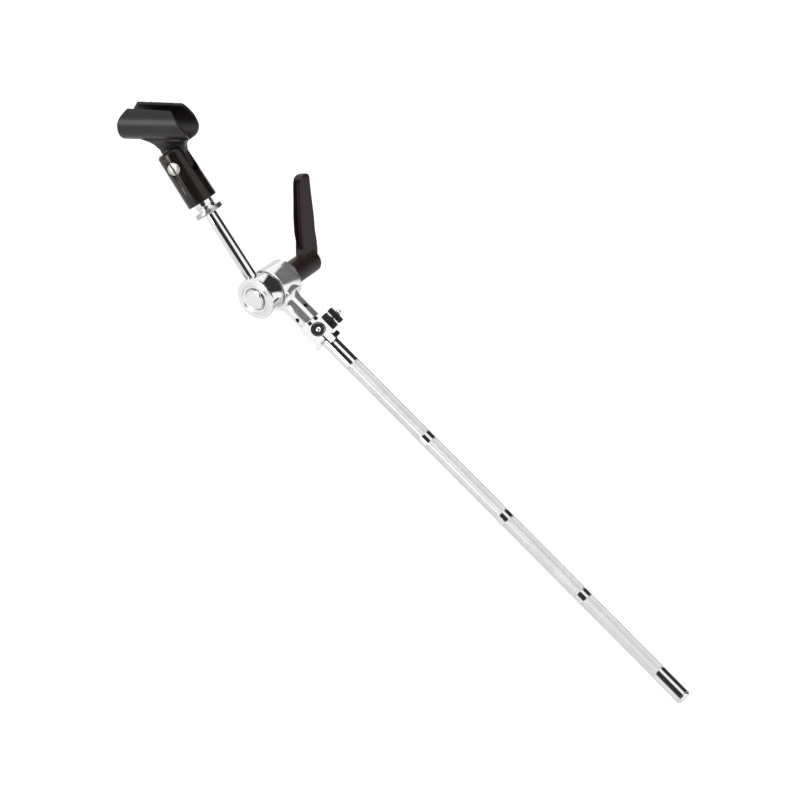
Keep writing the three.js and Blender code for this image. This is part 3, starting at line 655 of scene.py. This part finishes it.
BOSS_R = 9.65
BOSS_FRONT = 17.5
BOSS_END = 52.0
LEVER_ANGLE = math.radians(138.5)  # from +X towards +Z, seen along the hub's axis
LEVER_LEAN = math.radians(17)
BLADE_Y = 43.5  # where the blade's middle line crosses the hub's axis
LEVER_OUT = Vector((math.cos(LEVER_ANGLE), 0, math.sin(LEVER_ANGLE)))
LEVER_SECTIONS = (  # distance from the boss's axis, depth along the hub's axis, width across it, depth offset
    (-3.0, 15.0, 8.6, 0.0), (5.0, 17.5, 9.2, 0.2), (11.0, 17.8, 9.2, 0.6), (18.0, 16.5, 9.2, 0.6),
    (25.0, 16.6, 9.2, -0.6), (37.0, 16.2, 9.2, -0.8), (52.0, 13.5, 9.1, -0.9), (64.0, 11.9, 8.9, -0.9),
    (67.6, 10.9, 8.6, -0.4), (69.6, 8.6, 7.6, 0.5), (70.6, 5.6, 5.2, 1.2))
CHANNEL = (11.5, 66.5)  # where the long recess on the inner face starts and ends


def rounded_section(depth, width, corner, steps=5):
    """Points of a rounded rectangle, depth by width, centred on zero."""
    points = []
    corner = min(corner, depth / 2.05, width / 2.05)
    for k, (sx, sy) in enumerate(((1, 1), (-1, 1), (-1, -1), (1, -1))):
        for i in range(steps + 1):
            angle = math.pi / 2 * (k + i / steps)
            points.append((sx * (depth / 2 - corner) + corner * math.cos(angle),
                           sy * (width / 2 - corner) + corner * math.sin(angle)))
    return points


def lever_point(along, deep, wide):
    """From the blade's own directions to the hub's frame."""
    out = LEVER_OUT * math.cos(LEVER_LEAN) + Y_AXIS * math.sin(LEVER_LEAN)
    inwards = Y_AXIS * math.cos(LEVER_LEAN) - LEVER_OUT * math.sin(LEVER_LEAN)
    across = LEVER_OUT.cross(Y_AXIS)
    return Y_AXIS * BLADE_Y + out * along + inwards * deep + across * wide


def loft(name, sections):
    bm = bmesh.new()
    rings = [[bm.verts.new(point) for point in section] for section in sections]
    for low, high in zip(rings, rings[1:]):
        for i in range(len(low)):
            j = (i + 1) % len(low)
            bm.faces.new((low[i], low[j], high[j], high[i]))
    bm.faces.new(rings[0])
    bm.faces.new(rings[-1])
    return new_object(name, bm)


def lever_blade():
    sections = []
    for along, depth, width, offset in LEVER_SECTIONS:
        outline = rounded_section(depth, width, 1.3)
        sections.append([lever_point(along, deep + offset, wide) for deep, wide in outline])
    return loft("blade", sections)


def lever_channel():
    """The long recess in the blade's inner face, deepest in the middle and sloping out at both ends."""
    start, end = CHANNEL
    sections = []
    rows = ((0.0, 2.8, -0.2), (0.04, 3.2, 4.2), (0.5, 3.4, 5.0), (0.95, 3.2, 3.8), (1.0, 2.8, 0.2))
    for t, half, sunk in rows:
        along = start + (end - start) * t
        face = interpolate(along, [(row[0], row[3] - row[1] / 2) for row in LEVER_SECTIONS])
        corners = ((face - 4, -half - 0.2), (face + sunk, -half), (face + sunk, half), (face - 4, half + 0.2))
        sections.append([lever_point(along, deep, wide) for deep, wide in corners])
    return loft("channel", sections)


def interpolate(x, rows):
    for (x0, y0), (x1, y1) in zip(rows, rows[1:]):
        if x0 <= x <= x1:
            return y0 + (y1 - y0) * (x - x0) / (x1 - x0)
    return rows[-1][1]


def lever():
    boss = turned("lever", softened([
        (0, BOSS_FRONT), (BOSS_R - 0.5, BOSS_FRONT), (BOSS_R - 0.5, BOSS_FRONT + 2.4),
        (BOSS_R, BOSS_FRONT + 2.9), (BOSS_R, BOSS_END - 2.5), (BOSS_R - 2.5, BOSS_END), (0, BOSS_END)], 0.7),
        ALONG_Y, 128)
    combine(boss, lever_blade(), "UNION")
    combine(boss, lever_channel())
    combine(boss, peg("insert_seat", 8.2, BOSS_FRONT - 1, 27, ALONG_Y, 96))
    combine(boss, peg("stud_way", 3.5, BOSS_FRONT, BOSS_END, ALONG_Y))
    combine(boss, peg("screw_seat", 5.5, 31, BOSS_END + 1, ALONG_Y))
    stands_for(moulded(boss, 0.32, 4), HUB, "lever_handle")


def lever_metal():
    """The metal pieces on the hub's axis: washer, serrated insert, tension stud and lever screw."""
    stands_for(tube_between("washer", 3.5, 8.3, 11.6, 15.2, ALONG_Y, 96, 0.4), HUB, "thrust_washer")
    insert = edge_ridges("insert", 7.6, 3.3, 0.45, 16.2, 26.7, 24, 0.4)
    insert.data.transform(ALONG_Y)
    combine(insert, tube_between("flange", 3.3, 7.9, 15.5, 18.2, ALONG_Y, 96, 0.3), "UNION")
    stands_for(insert, HUB, "lever_insert")
    stud = turned("stud", softened([
        (0, CAP_BACK + 0.6), (6.5, CAP_BACK + 0.6), (6.5, -19.9), (2.8, -19.9), (2.8, 34), (2.4, 34),
        (2.4, 26), (0, 26)], 0.3), ALONG_Y, 64)
    stands_for(stud, HUB, "tension_stud")
    outline = [(0, 28), (2.1, 28), (2.1, 44), (5, 44), (5, 46.6), (0, 46.6)]
    screw = turned("screw", softened(outline, 0.5), ALONG_Y, 64)
    combine(screw, prism("socket", hexagon(4), 45.2, 48, ALONG_Y))
    stands_for(bevelled(screw, 0.12, 2), HUB, "lever_screw")


def spring():
    """Return spring round the lever screw, under its head."""
    turns, start, end, middle, wire = 3.5, 31.8, 43.2, 4.05, 0.45
    bm = bmesh.new()
    steps = 120
    rings = []
    for k in range(steps + 1):
        t = k / steps
        angle = 2 * math.pi * turns * t
        out = Vector((math.cos(angle), 0, math.sin(angle)))
        centre = out * middle + Y_AXIS * (start + (end - start) * t)
        ring = []
        for i in range(12):
            side = 2 * math.pi * i / 12
            ring.append(bm.verts.new(centre + out * wire * math.cos(side) + Y_AXIS * wire * math.sin(side)))
        rings.append(ring)
    for low, high in zip(rings, rings[1:]):
        for i in range(12):
            j = (i + 1) % 12
            bm.faces.new((low[i], low[j], high[j], high[i]))
    bm.faces.new(rings[0])
    bm.faces.new(rings[-1])
    stands_for(new_object("spring", bm), HUB, "lever_spring")


# ---------------------------------------------------------------- upper rod and clip

ROD_R = 5.0
ROD_START = 8.5
ROD_END = 91.0
RING_R = 11.7
ADAPTER_R = 8.3
ADAPTER_FLATS = 15.6
ADAPTER_START = 75.7
ADAPTER_END = 100.0
BASE_START = 86.5 - PIVOT_AT
BASE_END = 134.0 - PIVOT_AT
BASE_LOW_R = 12.6
BASE_TOP_R = 11.9
SLOT_HALF = 4.8
SLOT_PLAY = 0.6  # between the tongue and the slot's round bottom
SLOT_SIDE = 9.8  # below the pivot, where the slot opens to both sides for the neck
HEAD_SEAT = 9.3  # of the pivot screw's head and nut, from the middle of the clip
BORE_END = 104.0 - PIVOT_AT
TONGUE_R = 11.0
TONGUE_HALF = 3.6


def upper_rod():
    outline = [(0, ROD_START), (ROD_R, ROD_START), (ROD_R, ROD_END), (0, ROD_END)]
    rod = turned("rod", softened(outline, 0.5), ALONG_Z, 128)
    combine(rod, moved(peg("pin_way", PIN_HOLE_R, -6, 6, ALONG_Y, 32), z=PIN_AT))
    stands_for(rod, ROD, "upper_rod")


def adapter():
    """Threaded tip with flats, a groove above the ring, and the ring round its lower end."""
    start, end = ADAPTER_START, ADAPTER_END
    body = turned("adapter", softened([
        (5.3, start), (7.4, start), (ADAPTER_R, start + 0.8), (ADAPTER_R, 80.2), (7.5, 80.9), (7.5, 82.2),
        (ADAPTER_R, 82.9), (ADAPTER_R, end - 1), (7.4, end), (5.3, end), (5.3, start)], 0.2), ALONG_Z, 128)
    combine(body, prism("flats", hexagon(ADAPTER_FLATS), start - 1, end + 1), "INTERSECT")
    stands_for(bevelled(body, 0.15, 2), ROD, "thread_adapter")


def ring():
    disc = tube_between("ring", ADAPTER_R + 0.3, RING_R - 0.1, RING_AT - 2, RING_AT + 2, ALONG_Z, 160, 0.8)
    stands_for(disc, ROD, "lock_ring")


def clip_base():
    outline = [(0, BASE_START), (BASE_LOW_R, BASE_START), (BASE_TOP_R + 0.1, BASE_END - 2.6)]
    outline += [(BASE_TOP_R - 2.6 * (1 - math.cos(t)), BASE_END - 2.6 + 2.6 * math.sin(t))
                for t in (math.pi / 2 * i / 8 for i in range(9))]
    outline.append((0, BASE_END))
    body = turned("clip_base", softened(outline, 0.6), ALONG_Z, 160)
    combine(body, peg("insert_seat", 10.6, BASE_START - 1, BORE_END, ALONG_Z, 96))
    combine(body, box("slot", (-20, -SLOT_HALF, -SLOT_SIDE), (20, SLOT_HALF, BASE_END + 1)))
    combine(body, peg("slot_floor", TONGUE_R + SLOT_PLAY, -SLOT_HALF, SLOT_HALF, ALONG_Y, 128))
    combine(body, peg("screw_way", 2.8, -20, 20, ALONG_Y, 48))
    combine(body, peg("head_seat", 6.15, -20, -HEAD_SEAT, ALONG_Y, 96))
    combine(body, peg("nut_seat", 5.3, HEAD_SEAT, 20, ALONG_Y, 96))
    stands_for(bevelled(body, 0.35, 3), CLIP, "clip_base")


def thread_insert():
    start, end = BASE_START + 0.4, BORE_END - 1
    insert = tube_between("thread_insert", ADAPTER_R + 0.3, 10.3, start, end, ALONG_Z, 96, 0.3)
    stands_for(insert, CLIP, "clip_thread_insert")


def clip_screw():
    head = turned("clip_screw", softened([
        (0, -12.45), (3, -12.35), (5, -11.9), (5.45, -11.3), (5.45, -9.6), (2.5, -9.6), (2.5, 12),
        (0, 12)], 0.35), ALONG_Y, 96)
    combine(head, box("slot", (-0.75, -13.5, -7), (0.75, -10.6, 7)))
    stands_for(bevelled(head, 0.12, 2), CLIP, "pivot_screw")


def clip_nut():
    nut = prism("clip_nut", hexagon(8.4), 9.6, 12.2, ALONG_Y)
    combine(nut, peg("bore", 2.75, 8, 14, ALONG_Y, 48))
    stands_for(bevelled(nut, 0.3, 2), CLIP, "pivot_nut")


CRADLE_UP = 36.6
CRADLE_R = 15.7
CRADLE_WALL = 2.5
REAR_OPEN = math.radians(38)  # half angle of the opening at each end
FRONT_OPEN = math.radians(46)
REAR_EDGE = softened([  # height above the cradle's axis, and X
    (-17, -41.6), (-13.6, -43.1), (-8, -43.6), (0, -43.1), (5.4, -41.1), (10.7, -36.8), (14, -33.4)], 4, 6)
FRONT_EDGE = softened([
    (-17, 9.5), (-15.4, 11.8), (-13.4, 14.3), (-8, 14.6), (0, 10.4), (5.4, 6.8), (10.7, 2.9),
    (14, 0.5)], 4, 6)


def cradle_shell():
    """Open C, slightly wider at the front, with slanted ends and walls that rise towards the rear."""
    bm = bmesh.new()
    round_steps, long_steps = 96, 48
    layers = []
    for radius in (CRADLE_R, CRADLE_R - CRADLE_WALL):
        grid = []
        for i in range(round_steps + 1):
            row = []
            for k in range(long_steps + 1):
                t = k / long_steps
                limit = math.pi - REAR_OPEN - (FRONT_OPEN - REAR_OPEN) * t
                turn = -limit + 2 * limit * i / round_steps
                height = -CRADLE_R * math.cos(turn)
                rear, front = interpolate(height, REAR_EDGE), interpolate(height, FRONT_EDGE)
                x = rear + (front - rear) * t
                r = radius - 0.45 + 0.45 * (x + 44) / 57
                row.append(bm.verts.new((x, r * math.sin(turn), CRADLE_UP - r * math.cos(turn))))
            grid.append(row)
        layers.append(grid)
    outer, inner = layers
    for grid in layers:
        for i in range(round_steps):
            for k in range(long_steps):
                bm.faces.new((grid[i][k], grid[i + 1][k], grid[i + 1][k + 1], grid[i][k + 1]))
    for i in range(round_steps):
        for k in (0, long_steps):
            bm.faces.new((outer[i][k], outer[i + 1][k], inner[i + 1][k], inner[i][k]))
    for k in range(long_steps):
        for i in (0, round_steps):
            bm.faces.new((outer[i][k], outer[i][k + 1], inner[i][k + 1], inner[i][k]))
    return new_object("cradle", bm)


def cradle_neck():
    """Tongue in the slot, widening into a gusset under the shell."""
    under = CRADLE_UP - CRADLE_R + 1.2
    outline = [(TONGUE_R * math.cos(t), TONGUE_R * math.sin(t))
               for t in (math.pi + math.pi * i / 32 for i in range(33))]
    outline += [(10.6, 3), (8.6, 7), (7.1, 11), (7.0, 16), (8.2, 19.5), (10.5, under)]
    outline += [(-28.5, under), (-23, 19.6), (-18, 16.6), (-14, 13), (-11.8, 8), (-11.2, 3)]
    tongue = [(x, -z) for x, z in outline]
    return prism("neck", tongue, -TONGUE_HALF, TONGUE_HALF, ALONG_Y)


def cradle_rib():
    """The wider part of the neck above the slot."""
    sections = []
    rows = ((13.2, -12.2, 6.4, 3.6), (16, -15.5, 7.0, 4.6), (19, -21, 8.4, 6.0), (22.4, -29, 11, 8.5))
    for z, rear, front, half in rows:
        length, middle = front - rear, (front + rear) / 2
        section = [(middle + a, b, z) for a, b in rounded_section(length, 2 * half, half * 0.7)]
        sections.append([Vector(point) for point in section])
    return loft("rib", sections)


def cradle():
    shell = cradle_shell()
    combine(shell, cradle_neck(), "UNION")
    combine(shell, cradle_rib(), "UNION")
    inside = peg("inside", CRADLE_R - CRADLE_WALL - 0.3, -60, 40, ALONG_X, 96)
    combine(shell, moved(inside, z=CRADLE_UP))
    combine(shell, peg("screw_way", 2.85, -10, 10, ALONG_Y, 48))
    stands_for(moulded(shell, 0.36, 3), CRADLE, "clip_cradle")


# ---------------------------------------------------------------- memory lock

LOCK_HALF = 9.2
LOCK_TOP = 8.0
LOCK_BOTTOM = -12.2
LOCK_DEPTH = 9.5
LOCK_FRONT = 7.9
LOCK_LEAN = math.radians(14)
NOTCH_FLOORS = (-3.0, 3.2)
NUT_R = 6.8
KEY_X = LOCK_HALF + 3.3
KEY_Y = -9.0
LUG_TOP = 4.9


def lock_outline():
    """Outline of the lock across the tube, as (depth, height). The front face leans out to the bottom."""
    corner = 1.0
    low = LOCK_BOTTOM + corner
    front = -LOCK_FRONT - (LOCK_TOP - low) * math.tan(LOCK_LEAN)
    outline = [(-LOCK_FRONT, LOCK_TOP)]
    for i in range(13):
        t = math.pi / 2 * i / 12
        outline.append((front + corner * (1 - math.cos(t)), low - corner * math.sin(t)))
    for i in range(13):
        t = math.pi / 2 * (1 - i / 12)
        outline.append((LOCK_DEPTH - corner * (1 - math.cos(t)), low - corner * math.sin(t)))
    return outline + [(LOCK_DEPTH, LOCK_TOP)]


def lock_body():
    # Along X, an outline point (a, b) lands on depth b and height -a.
    outline = [(-height, depth) for depth, height in lock_outline()]
    body = prism("lock", outline, -LOCK_HALF, LOCK_HALF, ALONG_X)
    lug_foot = KEY_Y - 2 - (LUG_TOP + 0.5) * math.tan(LOCK_LEAN)
    lug_outline = [(-LUG_TOP, KEY_Y + 2), (0.5, KEY_Y + 2), (0.5, lug_foot), (-LUG_TOP, KEY_Y - 2)]
    lug = prism("lug", lug_outline, LOCK_HALF - 4, KEY_X + 2.6, ALONG_X)
    combine(body, lug, "UNION")
    combine(body, peg("bore", TUBE_R + 0.3, -20, 20, ALONG_X, 96))
    combine(body, box("slit", (-20, 4, -0.5), (20, 20, 0.5)))
    combine(body, peg("grip_seat", 5.9, -20, -7.9, ALONG_Y, 96))
    combine(body, peg("grip_way", 2.5, -20, 0, ALONG_Y, 48))
    combine(body, peg("stud_way", 2.7, 0, 20, ALONG_Z, 48))
    for z in NOTCH_FLOORS:
        combine(body, box("notch", (-LOCK_HALF - 1, -20, z), (-LOCK_HALF + 2.9, -6.5, z + 3)))
    combine(body, moved(peg("key_way", 1.9, 0, 10, ALONG_Z, 48), KEY_X, KEY_Y))
    stands_for(flat_faced(bevelled(body, 0.15, 2)), LOCK, "lock_body")


def lock_grip_screw():
    """Flat-faced socket screw with a fine knurl, sunk in the block's face. Its socket has a round bottom."""
    head = edge_ridges("grip_screw", 5.2, 1.5, 0.3, 8.2, 10.0, 36, 0.5)
    head.data.transform(Matrix.Rotation(math.pi / 2, 4, "X"))
    combine(head, peg("shank", 2.2, -9, -6.9, ALONG_Y), "UNION")
    combine(head, prism("socket", hexagon(5.0), -12, -9.1, ALONG_Y))
    outline = [(0, -9.75), (0.9, -9.65), (1.7, -9.35), (2.3, -8.9), (2.3, -8.4), (0, -8.4)]
    bead = turned("bead", outline, ALONG_Y, 64)
    combine(head, bead, "UNION")
    stands_for(flat_faced(head), LOCK, "lock_grip_screw")


def lock_nuts():
    for name, start, end in (("thumb_nut", LOCK_TOP + 0.3, 13.9), ("jam_nut", 15.2, 19.6)):
        stands_for(edge_ridges(name, NUT_R, 2.55, 0.3, start, end, 36, 0.45), LOCK, "lock_" + name)
    stands_for(tube_between("lock_washer_ring", 2.6, 6.4, 14.2, 14.9, ALONG_Z, 96, 0.15), LOCK, "lock_washer")


def lock_stud():
    dome = [(2.3 * math.cos(t), 20.7 + 2.3 * math.sin(t)) for t in (math.pi / 2 * i / 10 for i in range(11))]
    threads = []
    pitch = 0.8
    at = 19.4
    while at < 20.6:
        threads += [(2.3, at), (2.05, at + pitch / 2)]
        at += pitch
    outline = [(0, 6.9), (2.1, 6.9), (2.3, 7.2), *threads, *dome[:-1], (0, 23.0)]
    stands_for(turned("lock_stud", outline, ALONG_Z, 64), LOCK, "lock_thumb_stud")


def lock_key_screw():
    """Square-headed screw, turned with a drum key, in its lug."""
    screw = turned("key_screw", softened([
        (0, 1.2), (1.6, 1.2), (1.6, LUG_TOP + 0.3), (2.8, LUG_TOP + 0.3), (2.8, LUG_TOP + 1.3),
        (0, LUG_TOP + 1.3)], 0.25), ALONG_Z, 64)
    head = bevelled(box("head", (-1.8, -1.8, LUG_TOP + 1.1), (1.8, 1.8, LUG_TOP + 5.3)), 0.35, 3)
    combine(screw, head, "UNION")
    stands_for(moved(screw, KEY_X, KEY_Y), LOCK, "lock_key_screw")


# ---------------------------------------------------------------- studio

VIEW_AZIMUTH = math.radians(12.44)
VIEW_ELEVATION = math.radians(44.09)
VIEW_ROLL = math.radians(36.49)
VIEW_DISTANCE = 8.0
VIEW_TARGET = HUB_POINT + Vector((131.14, 19.24, -9.77)) * MM
FRAME_WIDTH = 0.6267  # what the picture takes in at the object
SENSOR = 36.0


def view_basis():
    """Right, up and towards-the-camera directions of the camera."""
    towards = Vector((math.cos(VIEW_ELEVATION) * math.sin(VIEW_AZIMUTH),
                      -math.cos(VIEW_ELEVATION) * math.cos(VIEW_AZIMUTH), math.sin(VIEW_ELEVATION)))
    level = Vector((math.cos(VIEW_AZIMUTH), math.sin(VIEW_AZIMUTH), 0))
    above = towards.cross(level)
    right = level * math.cos(VIEW_ROLL) + above * math.sin(VIEW_ROLL)
    return right, towards.cross(right), towards


def camera():
    right, up, towards = view_basis()
    data = bpy.data.cameras.new("camera")
    data.sensor_width = SENSOR
    data.lens = SENSOR * VIEW_DISTANCE / FRAME_WIDTH
    data.clip_end = 50
    obj = bpy.data.objects.new("camera", data)
    turn = Matrix((right, up, towards)).transposed().to_4x4()
    obj.matrix_world = Matrix.Translation(VIEW_TARGET + towards * VIEW_DISTANCE) @ turn
    bpy.context.scene.collection.objects.link(obj)
    bpy.context.scene.camera = obj


FLOOR_DROP = 0.6  # below the lowest point of the arm
FLOOR_SIZE = 20.0


def floor():
    low, high = CAD_BOX
    bm = bmesh.new()
    bmesh.ops.create_grid(bm, x_segments=1, y_segments=1, size=FLOOR_SIZE)
    mesh = bpy.data.meshes.new("floor")
    bm.to_mesh(mesh)
    bm.free()
    obj = bpy.data.objects.new("floor", mesh)
    obj.location = ((low[0] + high[0]) / 2, (low[1] + high[1]) / 2, low[2] - FLOOR_DROP)
    bpy.context.scene.collection.objects.link(obj)
    m = Nodes("pale_floor")
    tone = m.blend(m.spread(m.noise(3), 0, 1), (0.93, 0.93, 0.93), (0.91, 0.91, 0.91))
    obj.data.materials.append(m.finish(Base_Color=tone, Roughness=0.9))


WHITE_LEVEL = 1.5
DARK_LEVEL = 0.05
LENS_TOWARDS = Vector((0, -0.715, 0.70))  # middle of the dark opening that the camera looks through
LENS_BELOW = Vector((0, -0.90, 0.44))  # middle of the opening's lower end
LENS_OPENING = math.radians(26)
BACK_HALF_WIDTH = math.radians(39)  # dark opening behind the object, seen from it
BACK_TOP = math.radians(71)
BACK_BOTTOM = math.radians(-4)
EDGE = math.radians(3)  # softness of the openings' edges
LAMP_DISTANCE = 2.4


def world():
    """A white tent with two dark openings, a tall one for the camera and one behind, for chrome to mirror."""
    studio = bpy.data.worlds.new("studio")
    bpy.context.scene.world = studio
    studio.use_nodes = True
    tree = studio.node_tree
    background = tree.nodes["Background"]

    def link(value, socket):
        if isinstance(value, bpy.types.NodeSocket):
            tree.links.new(value, socket)
        else:
            socket.default_value = value

    def maths(operation, *values):
        node = tree.nodes.new("ShaderNodeMath")
        node.operation = operation
        for value, socket in zip(values, node.inputs):
            link(value, socket)
        return node.outputs[0]

    def step(value, edge, rising=True):
        """0 to 1 as value passes edge, over a short soft range."""
        node = tree.nodes.new("ShaderNodeMapRange")
        node.interpolation_type = "SMOOTHSTEP"
        ends = (edge - EDGE, edge + EDGE) if rising else (edge + EDGE, edge - EDGE)
        for index, number in enumerate((value, ends[0], ends[1], 0.0, 1.0)):
            link(number, node.inputs[index])
        return node.outputs[0]

    direction = tree.nodes.new("ShaderNodeTexCoord").outputs["Generated"]
    split = tree.nodes.new("ShaderNodeSeparateXYZ")
    link(direction, split.inputs[0])
    x, y, z = split.outputs

    def round_opening(towards):
        dot = tree.nodes.new("ShaderNodeVectorMath")
        dot.operation = "DOT_PRODUCT"
        link(direction, dot.inputs[0])
        link(towards.normalized(), dot.inputs[1])
        return step(maths("ARCCOSINE", dot.outputs["Value"]), LENS_OPENING, rising=False)

    lens = maths("MAXIMUM", round_opening(LENS_TOWARDS), round_opening(LENS_BELOW))
    sideways = maths("ABSOLUTE", maths("ARCTAN2", x, y))
    height = maths("ARCSINE", z)
    within = step(sideways, BACK_HALF_WIDTH, rising=False)
    below_top = step(height, BACK_TOP, rising=False)
    back = maths("MULTIPLY", maths("MULTIPLY", within, below_top), step(height, BACK_BOTTOM))
    dark = maths("MAXIMUM", lens, back)
    level = maths("SUBTRACT", WHITE_LEVEL, maths("MULTIPLY", dark, WHITE_LEVEL - DARK_LEVEL))
    seen = tree.nodes.new("ShaderNodeLightPath").outputs["Is Camera Ray"]
    plain = maths("MULTIPLY", maths("SUBTRACT", 1.0, seen), level)
    link(maths("ADD", plain, seen), background.inputs["Strength"])
    background.inputs["Color"].default_value = (1, 1, 1, 1)


def lamp(name, towards, size, power):
    data = bpy.data.lights.new(name, "AREA")
    data.shape = "DISK"
    data.size = size
    data.energy = power
    obj = bpy.data.objects.new(name, data)
    direction = Vector(towards).normalized()
    obj.location = VIEW_TARGET + direction * LAMP_DISTANCE
    obj.rotation_euler = direction.to_track_quat("Z", "Y").to_euler()
    bpy.context.scene.collection.objects.link(obj)


def studio():
    camera()
    floor()
    world()
    lamp("top_light", (-0.5, -0.1, 1), 1.4, 20)
    lamp("front_light", (-0.30, -0.95, 0.05), 1.0, 26)
    bpy.context.scene.view_settings.view_transform = "Standard"


studio()
boom_tube()
end_plug()
receiver()
set_screws()
tilter_front()
cap()
cap_middle()
lever()
lever_metal()
spring()
upper_rod()
adapter()
ring()
clip_base()
thread_insert()
clip_screw()
clip_nut()
cradle()
lock_body()
lock_grip_screw()
lock_nuts()
lock_stud()
lock_key_screw()
